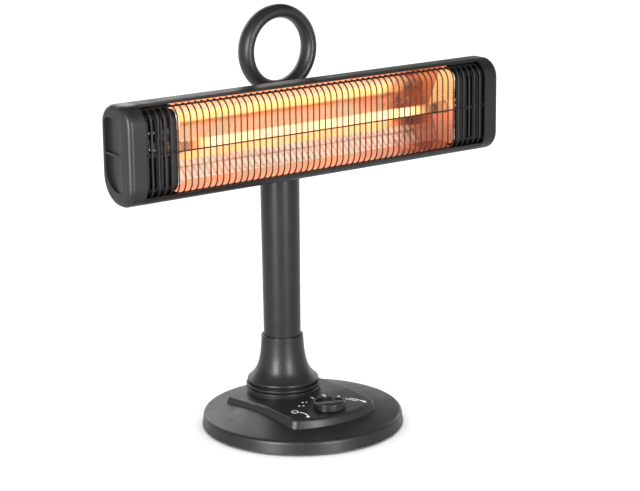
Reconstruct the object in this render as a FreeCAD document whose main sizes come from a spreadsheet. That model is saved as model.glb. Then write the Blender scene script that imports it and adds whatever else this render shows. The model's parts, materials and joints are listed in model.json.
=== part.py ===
import FreeCAD, Part
import Sketcher
import math
import os
from FreeCAD import Vector, Placement, Rotation

# Table-top quartz heater on a swivelling column.
# Millimetres, +Z up, -Y is the radiating front, X runs along the head.
# Origin: centre of the round base on the surface it stands on.

doc = FreeCAD.newDocument("quartz_heater")
sheet = doc.addObject("Spreadsheet::Sheet", "dims")

SIZES = [
    # round base
    ("base_r", 130.0), ("foot_z", 3.0), ("rim_r", 127.6), ("rim_z", 18.3), ("rim_fillet", 5.0),
    ("dome_flat_r", 60.0), ("dome_z", 29.5), ("shell_wall", 2.6),
    ("deck_half_front", 68.2), ("deck_half_rear", 74.0), ("deck_corner_y", -71.0),
    ("deck_rear_y", 69.0), ("deck_front_arc_r", 121.2), ("deck_start_z", 18.0), ("deck_rise", 24.0),
    ("deck_draft", 14.0), ("deck_mid_z", 37.2), ("deck_slope", 0.03), ("deck_crest_y", -10.0), ("deck_fall", 0.065), ("deck_crest_r", 150.0), ("deck_edge_r", 5.2),
    ("deck_corner_r", 16.0), ("selector_recess_r", 9.0), ("selector_recess_z", 33.0),
    ("seat_r", 48.0), ("seat_top_z", 41.0), ("seat_recess_r", 41.0), ("seat_recess_z", 39.5),
    ("bush_hole_r", 14.05), ("seam_y", 12.0), ("seam_w", 0.6), ("seam_deep", 0.7),
    ("plate_r", 126.4), ("plate_t", 2.0), ("boss_r", 4.5), ("screw_r", 1.5),
    ("weight_in_r", 92.0), ("weight_out_r", 119.0), ("weight_t", 8.0), ("weight_sweep", 290.0),
    ("weight_turn", 125.0),
    ("foot_r", 9.0), ("foot_pcd_r", 110.0), ("inlet_z", 10.8), ("inlet_hole_r", 4.95), ("inlet_bore_r", 3.6), ("inlet_seat_r", 6.2),
    # control knob and switch
    ("knob_y", -58.0), ("knob_r", 20.6), ("knob_low_z", 36.5), ("knob_top_z", 44.0), ("knob_turn", -23.0),
    ("shaft_r", 2.98), ("neck_r", 5.0),
    # tip-over switch
    ("tip_x", -48.0), ("tip_y", -18.0), ("plunger_r", 4.0), ("plunger_low_z", 0.3),
    # swivel
    ("col_y", 43.0), ("spindle_r", 12.0), ("spindle_bore_r", 8.0), ("gear_module", 1.25), ("gear_teeth", 40.0),
    ("pinion_teeth", 12.0), ("gear_low_z", 18.0), ("gear_t", 5.0), ("gear_slack", 0.2), ("motor_r", 17.5),
    ("ring_r", 48.0), ("ring_low_z", 42.2), ("ring_top_z", 46.0),
    # column
    ("flare_low_z", 47.5), ("flare_top_z", 110.0), ("flare_bead_r", 45.6),
    ("tube_low_z", 48.6), ("tube_top_z", 410.0), ("tube_low_r", 23.58), ("tube_top_r", 25.75), ("tube_wall", 1.6),
    ("handle_z", 482.0), ("handle_r", 48.0), ("handle_half_t", 8.7), ("handle_half_d", 12.7), ("neck_top_z", 436.0),
    # tilting head
    ("head_x", 281.0), ("cap_in_x", 258.0), ("head_front_y", -57.1), ("head_rear_y", 6.8),
    ("head_low_z", 332.5), ("head_top_z", 452.6), ("head_corner_r", 24.6), ("head_heel_r", 36.0),
    ("head_wall", 2.0), ("cap_wall", 2.4), ("cap_edge_r", 7.0), ("lip_top_y", -40.0), ("lip_low_z", 343.8),
    ("scoop_deep", 5.5), ("scoop_rear_y", -3.5), ("scoop_front_y", -40.0), ("scoop_low_z", 350.0),
    ("scoop_top_z", 437.0), ("rib_t", 2.8), ("mid_z", 394.0),
    ("louvre_in_x", 213.0), ("louvre_out_x", 261.0), ("louvre_front_y", -53.0), ("louvre_low_z", 345.5),
    ("louvre_top_z", 441.0), ("louvre_t", 1.5), ("louvre_bend_r", 13.0), ("slot_w", 3.6), ("slot_pitch", 6.5),
    ("wire_r", 0.95), ("wire_pitch", 8.9), ("wire_y", -56.1), ("wire_bend_r", 16.0),
    ("wire_top_c", 431.5), ("wire_low_c", 357.0), ("wire_end_y", -38.0), ("wire_half_count", 28.0),
    ("cross_half", 257.6), ("rail_r", 1.25), ("rail_half", 256.0),
    ("dish_half", 211.0), ("dish_vertex_y", 1.0), ("dish_fold_y", -19.0), ("dish_fold_h", 44.0), ("dish_t", 0.8),
    ("lamp_y", -30.0), ("lamp_r", 6.0), ("lamp_wall", 1.2), ("lamp_half", 205.0), ("coil_r", 4.2), ("coil_half", 177.0),
    ("ceramic_r", 7.6), ("ceramic_in_x", 196.0), ("ceramic_out_x", 224.0),
    ("tilt_y", 12.2), ("tilt_z", 392.5), ("tilt_eye_r", 5.0), ("tilt_pin_r", 2.5),
]


class Dim:
    """A size that carries its value and the sheet expression it comes from."""

    def __init__(self, value, text):
        self.v = float(value)
        self.e = text

    def __add__(self, o):
        o = dim(o)
        return Dim(self.v + o.v, "(%s + %s)" % (self.e, o.e))

    def __radd__(self, o):
        return dim(o) + self

    def __sub__(self, o):
        o = dim(o)
        return Dim(self.v - o.v, "(%s - %s)" % (self.e, o.e))

    def __rsub__(self, o):
        return dim(o) - self

    def __mul__(self, o):
        o = dim(o)
        return Dim(self.v * o.v, "(%s * %s)" % (self.e, o.e))

    def __rmul__(self, o):
        return dim(o) * self

    def __truediv__(self, o):
        o = dim(o)
        return Dim(self.v / o.v, "(%s / %s)" % (self.e, o.e))

    def __neg__(self):
        return Dim(-self.v, "(0 - %s)" % self.e)


def dim(q):
    if isinstance(q, Dim):
        return q
    return Dim(q, "%.6f" % q if q >= 0 else "(0 - %.6f)" % -q)


class Sizes:
    pass


P = Sizes()
for row, (name, value) in enumerate(SIZES, start=1):
    sheet.set("A%d" % row, name)
    sheet.set("B%d" % row, "%g" % value)
    sheet.setAlias("B%d" % row, name)
    setattr(P, name, Dim(value, "dims." + name))
doc.recompute()

NODES = []


def node(obj, label):
    obj.Label = label
    NODES.append((label, obj))
    return obj


# ---- sketch and feature helpers -------------------------------------------------

def body(label):
    b = doc.addObject("PartDesign::Body", label)
    node(b, label)
    return b


def plane_of(b, role):
    for f in b.Origin.OriginFeatures:
        if f.Role == role:
            return f
    raise ValueError(role)


def sketch(b, name, role, off=0.0):
    sk = b.newObject("Sketcher::SketchObject", b.Name + "_" + name)
    sk.AttachmentSupport = [(plane_of(b, role), "")]
    sk.MapMode = "FlatFace"
    q = dim(off)
    sk.AttachmentOffset = Placement(Vector(0, 0, q.v), Rotation())
    sk.setExpression("AttachmentOffset.Base.z", q.e)
    return sk


def pin_point(sk, g, pos, x, y):
    for kind, q, axis in (("DistanceX", dim(x), -2), ("DistanceY", dim(y), -1)):
        if abs(q.v) < 1e-9:
            sk.addConstraint(Sketcher.Constraint("PointOnObject", g, pos, axis))
        else:
            k = sk.addConstraint(Sketcher.Constraint(kind, -1, 1, g, pos, q.v))
            sk.setExpression("Constraints[%d]" % k, q.e)


def radius(sk, g, r):
    q = dim(r)
    k = sk.addConstraint(Sketcher.Constraint("Radius", g, q.v))
    sk.setExpression("Constraints[%d]" % k, q.e)


def polygon(sk, pts):
    pts = [(dim(x), dim(y)) for x, y in pts]
    n = len(pts)
    first = sk.GeometryCount
    for i in range(n):
        a, b = pts[i], pts[(i + 1) % n]
        sk.addGeometry(Part.LineSegment(Vector(a[0].v, a[1].v, 0), Vector(b[0].v, b[1].v, 0)), False)
    for i in range(n):
        sk.addConstraint(Sketcher.Constraint("Coincident", first + i, 2, first + (i + 1) % n, 1))
    for i in range(n):
        pin_point(sk, first + i, 1, pts[i][0], pts[i][1])


def rect(sk, x0, x1, y0, y1):
    polygon(sk, [(x0, y0), (x1, y0), (x1, y1), (x0, y1)])


def circle(sk, x, y, r):
    x, y, r = dim(x), dim(y), dim(r)
    g = sk.addGeometry(Part.Circle(Vector(x.v, y.v, 0), Vector(0, 0, 1), r.v), False)
    pin_point(sk, g, 3, x, y)
    radius(sk, g, r)


def round_rect(sk, x0, x1, y0, y1, radii):
    """radii: lower left, lower right, upper right, upper left"""
    x0, x1, y0, y1 = dim(x0), dim(x1), dim(y0), dim(y1)
    rs = [dim(r) for r in radii]
    c = [(x0.v + rs[0].v, y0.v + rs[0].v), (x1.v - rs[1].v, y0.v + rs[1].v),
         (x1.v - rs[2].v, y1.v - rs[2].v), (x0.v + rs[3].v, y1.v - rs[3].v)]
    up = Vector(0, 0, 1)
    n = sk.GeometryCount
    ends = [((c[0][0], y0.v), (c[1][0], y0.v)), ((x1.v, c[1][1]), (x1.v, c[2][1])),
            ((c[2][0], y1.v), (c[3][0], y1.v)), ((x0.v, c[3][1]), (x0.v, c[0][1]))]
    for a, b in ends:
        sk.addGeometry(Part.LineSegment(Vector(a[0], a[1], 0), Vector(b[0], b[1], 0)), False)
    starts = [math.pi, 1.5 * math.pi, 0.0, 0.5 * math.pi]
    for i in range(4):
        full = Part.Circle(Vector(c[i][0], c[i][1], 0), up, rs[i].v)
        sk.addGeometry(Part.ArcOfCircle(full, starts[i], starts[i] + 0.5 * math.pi), False)
    # line i starts where arc i ends, and runs into arc i + 1
    for i in range(4):
        sk.addConstraint(Sketcher.Constraint("Tangent", n + i, 1, n + 4 + i, 2))
        sk.addConstraint(Sketcher.Constraint("Tangent", n + i, 2, n + 4 + (i + 1) % 4, 1))
    for i, kind in ((0, "Horizontal"), (1, "Vertical"), (2, "Horizontal"), (3, "Vertical")):
        sk.addConstraint(Sketcher.Constraint(kind, n + i))
    for i in range(4):
        radius(sk, n + 4 + i, rs[i])
    for i, kind, q in ((0, "DistanceY", y0), (1, "DistanceX", x1), (2, "DistanceY", y1), (3, "DistanceX", x0)):
        k = sk.addConstraint(Sketcher.Constraint(kind, -1, 1, n + i, 1, q.v))
        sk.setExpression("Constraints[%d]" % k, q.e)


def feature(b, kind, name, sk, size, prop):
    f = b.newObject("PartDesign::" + kind, b.Name + "_" + name)
    f.Profile = sk
    q = dim(size)
    setattr(f, prop, q.v)
    f.setExpression(prop, q.e)
    return f


def pad(b, name, sk, length, sym=False, rev=False, taper=None):
    f = feature(b, "Pad", name, sk, length, "Length")
    f.SideType = "Symmetric" if sym else "One side"
    f.Reversed = rev
    if taper is not None:
        f.TaperAngle = dim(taper).v
        f.setExpression("TaperAngle", dim(taper).e)
    doc.recompute()
    return f


def pocket(b, name, sk, length, sym=True, rev=False):
    doc.recompute()
    before = b.Shape.Volume
    f = feature(b, "Pocket", name, sk, length, "Length")
    f.SideType = "Symmetric" if sym else "One side"
    f.Reversed = rev
    doc.recompute()
    if not b.Shape.Volume < before - 1e-3:
        raise ValueError("pocket cuts nothing: " + f.Name)
    return f


def revolve(b, name, sk, axis="V_Axis", angle=360.0):
    f = feature(b, "Revolution", name, sk, angle, "Angle")
    f.ReferenceAxis = (sk, [axis])
    doc.recompute()
    return f


def groove(b, name, sk, axis="V_Axis"):
    doc.recompute()
    before = b.Shape.Volume
    f = feature(b, "Groove", name, sk, 360.0, "Angle")
    f.ReferenceAxis = (sk, [axis])
    doc.recompute()
    if not b.Shape.Volume < before - 1e-3:
        raise ValueError("groove cuts nothing: " + f.Name)
    return f


def edges_where(shape, test):
    return ["Edge%d" % (i + 1) for i, e in enumerate(shape.Edges) if test(e)]


def fillet(b, name, test, r):
    doc.recompute()
    base = b.Tip
    names = edges_where(base.Shape, test)
    if not names:
        raise ValueError("no edge for " + name)
    f = b.newObject("PartDesign::Fillet", b.Name + "_" + name)
    f.Base = (base, names)
    q = dim(r)
    f.Radius = q.v
    f.setExpression("Radius", q.e)
    doc.recompute()
    if "Invalid" in f.State or not f.Shape.isValid():
        raise ValueError("fillet failed: %s %s" % (f.Name, names))
    return f


def ring_edge(r, z, tol=0.05):
    def test(e):
        c = e.Curve
        return (isinstance(c, Part.Circle) and abs(c.Radius - r) < tol
                and abs(c.Center.z - z) < tol)
    return test


def prim(kind, name, sizes, at=(0, 0, 0), rot=None):
    o = doc.addObject("Part::" + kind, name)
    for k, q in sizes.items():
        q = dim(q)
        setattr(o, k, q.v)
        o.setExpression(k, q.e)
    at = [dim(q) for q in at]
    o.Placement = Placement(Vector(*[q.v for q in at]), rot or Rotation())
    for k, q in zip("xyz", at):
        o.setExpression("Placement.Base." + k, q.e)
    return o


ALONG_X = Rotation(Vector(0, 1, 0), 90)
ALONG_Y = Rotation(Vector(1, 0, 0), -90)


def box(name, x0, x1, y0, y1, z0, z1):
    x0, x1, y0, y1, z0, z1 = [dim(q) for q in (x0, x1, y0, y1, z0, z1)]
    return prim("Box", name, {"Length": x1 - x0, "Width": y1 - y0, "Height": z1 - z0}, (x0, y0, z0))


def cyl(name, x, y, z, r, length, rot=None):
    return prim("Cylinder", name, {"Radius": r, "Height": length}, (x, y, z), rot)


def cut(name, base, *tools):
    for i, t in enumerate(tools):
        o = doc.addObject("Part::Cut", name if i == len(tools) - 1 else name + "_cut%d" % i)
        o.Base = base
        o.Tool = t
        base = o
    return base


def fuse(name, *shapes):
    o = doc.addObject("Part::MultiFuse", name)
    o.Shapes = list(shapes)
    return o


def mirrored(name, source):
    o = doc.addObject("Part::Mirroring", name)
    o.Source = source
    o.Base = Vector(0, 0, 0)
    o.Normal = Vector(1, 0, 0)
    return o


def made(label, shape, at=(0, 0, 0)):
    o = doc.addObject("Part::Feature", label)
    o.Shape = shape
    o.Placement = Placement(Vector(*at), Rotation())
    return node(o, label)


def bent_tube(points, r, bend):
    """round tube along straight runs joined by tangent arcs"""
    pts = [Vector(*p) for p in points]
    edges = []
    here = pts[0]
    for i in range(1, len(pts) - 1):
        a = (pts[i - 1] - pts[i]).normalize()
        b = (pts[i + 1] - pts[i]).normalize()
        half = a.getAngle(b) / 2.0
        back = bend / math.tan(half)
        back = min(back, 0.45 * (pts[i - 1] - pts[i]).Length, 0.45 * (pts[i + 1] - pts[i]).Length)
        rr = back * math.tan(half)
        p0, p1 = pts[i] + a * back, pts[i] + b * back
        mid_dir = (a + b).normalize()
        centre = pts[i] + mid_dir * (rr / math.sin(half))
        mid = centre - mid_dir * rr
        edges.append(Part.LineSegment(here, p0).toShape())
        edges.append(Part.Arc(p0, mid, p1).toShape())
        here = p1
    edges.append(Part.LineSegment(here, pts[-1]).toShape())
    path = Part.Wire(edges)
    start = (pts[1] - pts[0]).normalize()
    section = Part.Wire([Part.Circle(pts[0], start, r).toShape()])
    tube = path.makePipeShell([section], True, False)
    want = math.pi * r * r * path.Length
    if abs(tube.Volume - want) > 0.03 * want:
        raise ValueError("tube volume")
    return tube


def gear_face(teeth, module, slack, turn, add=0.85, ded=1.3):
    """involute spur gear outline, thinned by slack along the pitch circle"""
    rp = 0.5 * module * teeth
    rb = rp * math.cos(math.radians(20))
    ra = rp + add * module
    rf = rp - ded * module
    inv20 = math.tan(math.radians(20)) - math.radians(20)
    half = (0.5 * math.pi * module - slack) / (2.0 * rp)
    lo = max(rb, rf + 0.2 * module)
    side = []
    for k in range(7):
        r = lo + (ra - lo) * k / 6.0
        al = math.acos(min(1.0, rb / r))
        side.append((r, half + inv20 - (math.tan(al) - al)))
    pts = []
    for i in range(int(teeth)):
        mid = turn + 2 * math.pi * i / teeth
        foot = side[0][1]
        one = [(rf, -foot)] + [(r, -w) for r, w in side] + [(r, w) for r, w in reversed(side)] + [(rf, foot)]
        pts += [Vector(r * math.cos(mid + w), r * math.sin(mid + w), 0) for r, w in one]
    pts.append(pts[0])
    return Part.Face(Part.makePolygon(pts))


# ---- base -----------------------------------------------------------------------

cov = body("base_cover")
sk = sketch(cov, "dome_profile", "XZ_Plane")
polygon(sk, [(0, P.foot_z), (P.base_r, P.foot_z), (P.rim_r, P.rim_z), (P.dome_flat_r, P.dome_z), (0, P.dome_z)])
revolve(cov, "dome", sk)
fillet(cov, "rim_round", ring_edge(P.rim_r.v, P.rim_z.v), P.rim_fillet)

# raised control deck with drafted walls and an arched front edge
sk = sketch(cov, "deck_outline", "XY_Plane", P.deck_start_z)
xf, xr, yf, yr = P.deck_half_front, P.deck_half_rear, P.deck_corner_y, P.deck_rear_y
R = P.deck_front_arc_r.v
cy = yf.v + math.sqrt(R * R - xf.v * xf.v)
a0 = math.atan2(yf.v - cy, -xf.v)
a1 = math.atan2(yf.v - cy, xf.v)
sk.addGeometry(Part.LineSegment(Vector(-xr.v, yr.v, 0), Vector(-xf.v, yf.v, 0)), False)
sk.addGeometry(Part.ArcOfCircle(Part.Circle(Vector(0, cy, 0), Vector(0, 0, 1), R), a0 % (2 * math.pi), a1 % (2 * math.pi)), False)
sk.addGeometry(Part.LineSegment(Vector(xf.v, yf.v, 0), Vector(xr.v, yr.v, 0)), False)
sk.addGeometry(Part.LineSegment(Vector(xr.v, yr.v, 0), Vector(-xr.v, yr.v, 0)), False)
sk.addConstraint(Sketcher.Constraint("Coincident", 0, 2, 1, 1))
sk.addConstraint(Sketcher.Constraint("Coincident", 1, 2, 2, 1))
sk.addConstraint(Sketcher.Constraint("Coincident", 2, 2, 3, 1))
sk.addConstraint(Sketcher.Constraint("Coincident", 3, 2, 0, 1))
pin_point(sk, 0, 1, -xr, yr)
pin_point(sk, 0, 2, -xf, yf)
pin_point(sk, 2, 1, xf, yf)
pin_point(sk, 2, 2, xr, yr)
radius(sk, 1, P.deck_front_arc_r)
pad(cov, "deck", sk, P.deck_rise, taper=-P.deck_draft)


def deck_corner(e):
    v = e.Vertexes
    if len(v) != 2:
        return False
    d = v[1].Point - v[0].Point
    m = (v[1].Point + v[0].Point) * 0.5
    return abs(d.z) > 5 and m.y < -50 and 40 < abs(m.x) < 75 and abs(d.z) > 0.5 * d.Length


fillet(cov, "deck_corners", deck_corner, P.deck_corner_r)
sk = sketch(cov, "deck_top_line", "YZ_Plane")
crest_z = P.deck_mid_z + P.deck_crest_y * P.deck_slope
up_a, down_a = math.atan(P.deck_slope.v), -math.atan(P.deck_fall.v)
CR = P.deck_crest_r.v
bend = CR * math.tan((up_a - down_a) / 2)
top_pts = [(-140.0, P.deck_mid_z.v - 140 * P.deck_slope.v),
           (P.deck_crest_y.v - bend * math.cos(up_a), crest_z.v - bend * math.sin(up_a)),
           (P.deck_crest_y.v + bend * math.cos(down_a), crest_z.v + bend * math.sin(down_a)),
           (140.0, crest_z.v - (140 - P.deck_crest_y.v) * P.deck_fall.v), (140.0, 70.0), (-140.0, 70.0)]
mid = Vector(top_pts[1][0] + CR * math.sin(up_a), top_pts[1][1] - CR * math.cos(up_a), 0)
pts = [Vector(u, w, 0) for u, w in top_pts]
sk.addGeometry(Part.LineSegment(pts[0], pts[1]), False)
sk.addGeometry(Part.ArcOfCircle(Part.Circle(mid, Vector(0, 0, 1), CR), math.pi / 2 + down_a, math.pi / 2 + up_a), False)
for k in (2, 3, 4, 5):
    sk.addGeometry(Part.LineSegment(pts[k], pts[(k + 1) % 6]), False)
sk.addConstraint(Sketcher.Constraint("Coincident", 0, 2, 1, 2))
sk.addConstraint(Sketcher.Constraint("Coincident", 1, 1, 2, 1))
for k in (2, 3, 4):
    sk.addConstraint(Sketcher.Constraint("Coincident", k, 2, k + 1, 1))
sk.addConstraint(Sketcher.Constraint("Coincident", 5, 2, 0, 1))
radius(sk, 1, P.deck_crest_r)
pocket(cov, "deck_top", sk, 300.0)


def on_deck_top(e):
    for t in (0.0, 0.5, 1.0):
        p = e.valueAt(e.FirstParameter + t * (e.LastParameter - e.FirstParameter))
        back = p.y - P.deck_crest_y.v
        if abs(p.z - crest_z.v - (P.deck_slope.v * back if back < 0 else -P.deck_fall.v * back)) > 0.25:
            return False
    p, q = e.Vertexes[0].Point, e.Vertexes[-1].Point
    return not (abs(p.x - q.x) > 60 and p.y > P.deck_crest_y.v - 20)


fillet(cov, "deck_edge", on_deck_top, P.deck_edge_r)
# round seat of the swivel
sk = sketch(cov, "seat_outline", "XY_Plane", 20.0)
circle(sk, 0, P.col_y, P.seat_r)
pad(cov, "seat", sk, P.seat_top_z - 20)
fillet(cov, "seat_edge", ring_edge(P.seat_r.v, P.seat_top_z.v), 1.2)
# hollow underside
sk = sketch(cov, "hollow_profile", "XZ_Plane")
polygon(sk, [(0, 2), (P.base_r - P.shell_wall, 2), (P.rim_r - P.shell_wall + 0.3, P.rim_z - P.shell_wall + 0.6),
             (P.dome_flat_r, P.dome_z - P.shell_wall), (0, P.dome_z - P.shell_wall)])
groove(cov, "hollow", sk)
# screw bosses and the flat boss for the heat selector
SCREWS = [(-70.0, -34.0), (70.0, -34.0), (-62.0, 50.0), (62.0, 50.0)]
sk = sketch(cov, "boss_outline", "XY_Plane", P.foot_z + P.plate_t + 0.1)
for x, y in SCREWS:
    circle(sk, x, y, P.boss_r)
pad(cov, "bosses", sk, 19.5)
sk = sketch(cov, "selector_boss_outline", "XY_Plane", 24.0)
circle(sk, 0, P.knob_y, 10)
pad(cov, "selector_boss", sk, 4.0)
sk = sketch(cov, "boss_holes_outline", "XY_Plane", 10.0)
for x, y in SCREWS:
    circle(sk, x, y, P.screw_r + 0.06)
pocket(cov, "boss_holes", sk, 16.0)
sk = sketch(cov, "bores", "XY_Plane", 35.0)
circle(sk, 0, P.knob_y, P.neck_r + 0.2)
circle(sk, 0, P.col_y, P.bush_hole_r)
pocket(cov, "bore_cut", sk, 26.0)
sk = sketch(cov, "selector_recess_outline", "XY_Plane", P.selector_recess_z + 5.0)
circle(sk, 0, P.knob_y, P.selector_recess_r)
pocket(cov, "selector_recess", sk, 10.0)
sk = sketch(cov, "seat_recess_outline", "XY_Plane", P.seat_recess_z + 2.0)
circle(sk, 0, P.col_y, P.seat_recess_r)
pocket(cov, "seat_recess", sk, 4.0)
sk = sketch(cov, "inlet_outline", "XZ_Plane", -125.0)
circle(sk, 0, P.inlet_z, P.inlet_hole_r)
pocket(cov, "inlet_hole", sk, 16.0)
sk = sketch(cov, "inlet_seat_outline", "XZ_Plane", -131.6)
circle(sk, 0, P.inlet_z, P.inlet_seat_r)
pocket(cov, "inlet_seat", sk, 8.0)
# hairline seams across the dome beside the deck
sk = sketch(cov, "seam_outline", "XZ_Plane", -P.seam_y)
slope = (P.dome_z - P.rim_z) / (P.rim_r - P.dome_flat_r)
for s in (1.0, -1.0):
    z0 = P.rim_z + slope * (P.rim_r - 73.0) - P.seam_deep
    z1 = P.rim_z + slope * (P.rim_r - 114.5) - P.seam_deep
    polygon(sk, [(s * 72.0, z0), (s * 114.0, z1), (s * 114.0, 36.0), (s * 72.0, 36.0)])
pocket(cov, "seams", sk, P.seam_w)

plate = body("base_plate")
sk = sketch(plate, "disc_outline", "XY_Plane", P.foot_z)
circle(sk, 0, 0, P.plate_r)
pad(plate, "disc", sk, P.plate_t)
sk = sketch(plate, "holes_outline", "XY_Plane", P.foot_z)
for x, y in SCREWS:
    circle(sk, x, y, P.screw_r + 0.2)
circle(sk, P.tip_x, P.tip_y, P.plunger_r + 0.3)
for i in range(5):
    rect(sk, 24.0, 62.0, -30.0 + 7.0 * i, -27.0 + 7.0 * i)
pocket(plate, "holes", sk, 8.0)

weight = body("counterweight")
sk = sketch(weight, "section", "XZ_Plane")
rect(sk, P.weight_in_r, P.weight_out_r, P.foot_z + P.plate_t + 0.05, P.foot_z + P.plate_t + P.weight_t)
revolve(weight, "ring", sk, angle=P.weight_sweep)
weight.Placement = Placement(Vector(0, 0, 0), Rotation(Vector(0, 0, 1), P.weight_turn.v))
weight.setExpression("Placement.Rotation.Angle", P.weight_turn.e)

feet = []
for k in range(5):
    a = math.radians(-90 + 72 * k)
    at = Vector(P.foot_pcd_r.v * math.cos(a), P.foot_pcd_r.v * math.sin(a), 0)
    lo = Part.makeCone(P.foot_r.v - 1.0, P.foot_r.v, 1.0, at)
    hi = Part.makeCylinder(P.foot_r.v, P.foot_z.v - 1.02, at + Vector(0, 0, 1.0))
    feet.append(lo.fuse(hi).removeSplitter())
made("rubber_feet", Part.makeCompound(feet))


def pan_screw(at, axis, shank, r=1.5, head_r=3.0, head_h=1.7):
    """pan-head screw: at is the underside of the head, axis points along the shank"""
    axis = Vector(*axis)
    at = Vector(*at)
    head = Part.makeCylinder(head_r, head_h, at - axis * head_h, axis)
    rim = [e for e in head.Edges if isinstance(e.Curve, Part.Circle) and (e.Curve.Center - (at - axis * head_h)).Length < 1e-6]
    head = head.makeFillet(0.6, rim)
    slot = Part.makeBox(2 * head_r, 0.7, 0.8, Vector(-head_r, -0.35, 0))
    slot.Placement = Placement(at - axis * (head_h + 0.01), Rotation(Vector(0, 0, 1), axis))
    body_ = Part.makeCylinder(r, shank, at, axis)
    return head.cut(slot).fuse(body_).removeSplitter()


made("base_screws", Part.makeCompound([pan_screw((x, y, P.foot_z.v - 0.02), (0, 0, 1), 14.0) for x, y in SCREWS]))

node(cut("thrust_washer", cyl("washer_disc", 0, P.col_y, P.seat_recess_z, 40.0, 2.3),
         cyl("washer_hole", 0, P.col_y, P.seat_recess_z - 1, 16.0, 5.0)), "thrust_washer")
node(cut("swivel_bush", cyl("bush_barrel", 0, P.col_y, P.dome_z - P.shell_wall + 0.1, 14.0, 12.45),
         cyl("bush_bore", 0, P.col_y, 20.0, P.spindle_r + 0.05, 30.0)), "swivel_bush")

ky = P.knob_y
node(cut("rotary_switch",
         fuse("switch_solid", box("switch_case", -16.0, 16.0, ky - 16, ky + 16, 8.0, 23.9),
              cyl("switch_neck", 0, ky, 23.0, P.neck_r, 12.2),
              box("switch_tab_a", -20.0, 20.0, ky - 10, ky - 4, 12.0, 12.8),
              box("switch_tab_b", -20.0, 20.0, ky + 4, ky + 10, 12.0, 12.8)),
         cyl("switch_bore", 0, ky, 14.0, P.shaft_r + 0.07, 24.0)), "rotary_switch")
hexa = Part.Face(Part.makePolygon([Vector(7.6 * math.cos(math.radians(60 * k)), 7.6 * math.sin(math.radians(60 * k)), 0) for k in range(7)]))
made("switch_nut", hexa.extrude(Vector(0, 0, 1.9)).cut(Part.makeCylinder(P.neck_r.v + 0.05, 4, Vector(0, 0, -1))),
     (0, ky.v, P.selector_recess_z.v + 0.05))

tx, ty = P.tip_x, P.tip_y
node(cut("tip_over_switch",
         fuse("tip_solid", box("tip_case", tx - 12, tx + 12, ty - 9, ty + 9, 8.0, 20.0),
              cyl("tip_guide", tx, ty, 5.05, 7.0, 4.0),
              box("tip_ear", tx - 18, tx + 18, ty - 5, ty + 5, 5.05, 7.0)),
         cyl("tip_guide_bore", tx, ty, 4.0, P.plunger_r + 0.06, 8.0),
         cyl("tip_chamber", tx, ty, 9.5, 6.1, 9.0)), "tip_over_switch")
coil = [(4.33 * math.cos(math.radians(45 * k)), 4.33 * math.sin(math.radians(45 * k)), 2.25 * k / 20.0) for k in range(21)]
made("plunger_spring", bent_tube(coil, 0.35, 3.3), (tx.v, ty.v, 15.7))

gear_gap = P.gear_module * (P.gear_teeth + P.pinion_teeth) / 2 + 0.15
mx = gear_gap
node(cut("oscillation_motor",
         fuse("motor_solid", cyl("motor_can", mx, P.col_y, 5.05, P.motor_r, 9.95),
              cyl("motor_neck", mx, P.col_y, 14.0, 5.0, 3.3),
              box("motor_ears", mx - 5, mx + 5, P.col_y - 25, P.col_y + 25, 5.05, 6.6)),
         cyl("motor_bore", mx, P.col_y, 8.0, 2.05, 12.0),
         cyl("motor_ear_hole_a", mx, P.col_y - 21.5, 4.0, 1.6, 5.0),
         cyl("motor_ear_hole_b", mx, P.col_y + 21.5, 4.0, 1.6, 5.0)), "oscillation_motor")

inlet = body("cord_inlet")
sk = sketch(inlet, "grommet_profile", "YZ_Plane")
z = P.inlet_z
polygon(sk, [(122.6, z + P.inlet_bore_r), (129.4, z + P.inlet_bore_r), (129.4, z + 5.2), (128.8, z + 5.8), (127.65, z + 5.8),
             (127.65, z + 4.85), (124.6, z + 4.85), (124.6, z + 5.5), (122.6, z + 5.5)])
g_axis = sk.addGeometry(Part.LineSegment(Vector(110, z.v, 0), Vector(140, z.v, 0)), True)
pin_point(sk, g_axis, 1, 110, z)
pin_point(sk, g_axis, 2, 140, z)
revolve(inlet, "grommet", sk, axis="Axis0")

block = fuse("terminal_solid", box("terminal_bar", -46.0, -14.0, 76.0, 90.0, 5.05, 12.0),
             box("terminal_rib_a", -46.0, -44.6, 76.0, 90.0, 5.05, 15.0), box("terminal_rib_b", -35.6, -34.2, 76.0, 90.0, 5.05, 15.0),
             box("terminal_rib_c", -25.8, -24.4, 76.0, 90.0, 5.05, 15.0), box("terminal_rib_d", -15.4, -14.0, 76.0, 90.0, 5.05, 15.0))
node(cut("terminal_block", block, cyl("terminal_hole_a", -40.1, 83.0, 8.0, 2.2, 8.0), cyl("terminal_hole_b", -30.0, 83.0, 8.0, 2.2, 8.0),
         cyl("terminal_hole_c", -19.9, 83.0, 8.0, 2.2, 8.0)), "terminal_block")
made("base_wiring", Part.makeCompound([
    bent_tube([(0, 119, 10), (0, 98, 10), (-4, 85, 9), (-13.9, 85, 9)], 2.4, 12),
    bent_tube([(-32, 75.9, 9), (-32, 20, 9), (-30, -26, 9), (-8, -30, 13), (-8, -41.9, 13)], 1.3, 12),
    bent_tube([(-13.9, 78.5, 8.5), (14, 78.5, 8.5), (mx.v, 72, 9), (mx.v, 60.7, 9)], 1.2, 8),
    bent_tube([(0, P.col_y.v, 10.0), (-2, P.col_y.v + 5, 8.2), (-18, P.col_y.v + 20, 8.2), (-22, 68, 9), (-22, 75.9, 9)], 1.6, 6)]))

# ---- control knob -----------------------------------------------------------------

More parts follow.
